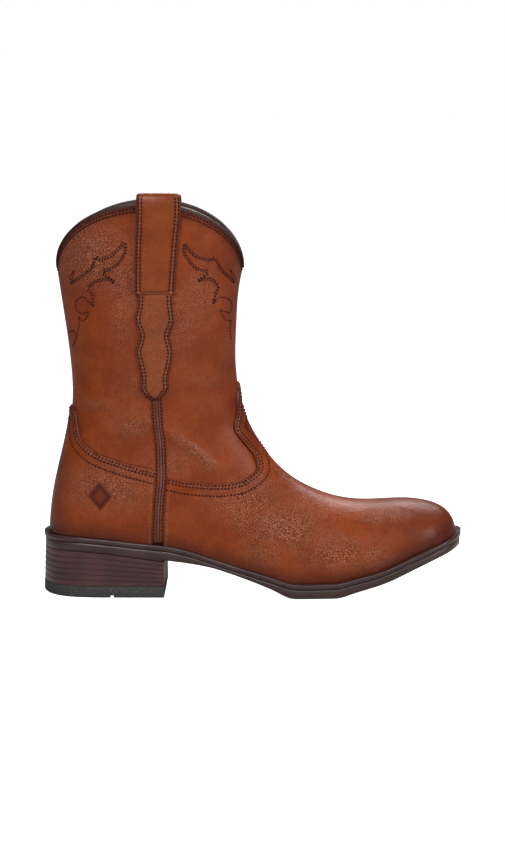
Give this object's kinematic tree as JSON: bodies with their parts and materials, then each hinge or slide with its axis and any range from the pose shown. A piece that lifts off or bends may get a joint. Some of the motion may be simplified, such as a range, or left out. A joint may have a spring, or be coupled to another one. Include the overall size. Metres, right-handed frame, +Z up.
{
  "type": "roper boot",
  "caption": "Ankle-high leather roper boot for the right foot, with scooped collar, pull straps, stitched flame pattern, rounded toe and low stacked heel.",
  "frame": {"origin": "centre of the heel's bottom face, on the floor", "axes": "+X towards the toe, +Y towards the inner side of the foot, +Z up"},
  "size_m": [0.3014, 0.1015, 0.2861],
  "materials": {
    "shaft_leather": "burnished tan, soft gloss",
    "foot_leather": "burnished tan, pebbled, soft gloss",
    "tab_leather": "burnished tan, soft gloss",
    "seam_cord": "dark folded piping",
    "edge_binding": "near-black edge",
    "lining": "plain matt lining",
    "welt_edge": "dark brown, smooth",
    "sole_edge": "dark brown, smooth",
    "heel_leather": "dark brown stacked lifts, satin",
    "cap_rubber": "dark grey, matt"
  },
  "bodies": {
    "root": {"upper": "shaft_leather", "vamp": "foot_leather", "counter": "foot_leather", "side_tab_lateral": "tab_leather", "side_tab_medial": "tab_leather", "pull_strap_lateral": "tab_leather", "pull_strap_medial": "tab_leather", "piping_lateral": "seam_cord", "piping_medial": "seam_cord", "collar_binding": "edge_binding", "insole": "lining", "welt": "welt_edge", "outsole": "sole_edge", "heel_stack": "heel_leather", "heel_cap": "cap_rubber"}
  },
  "joints": []
}
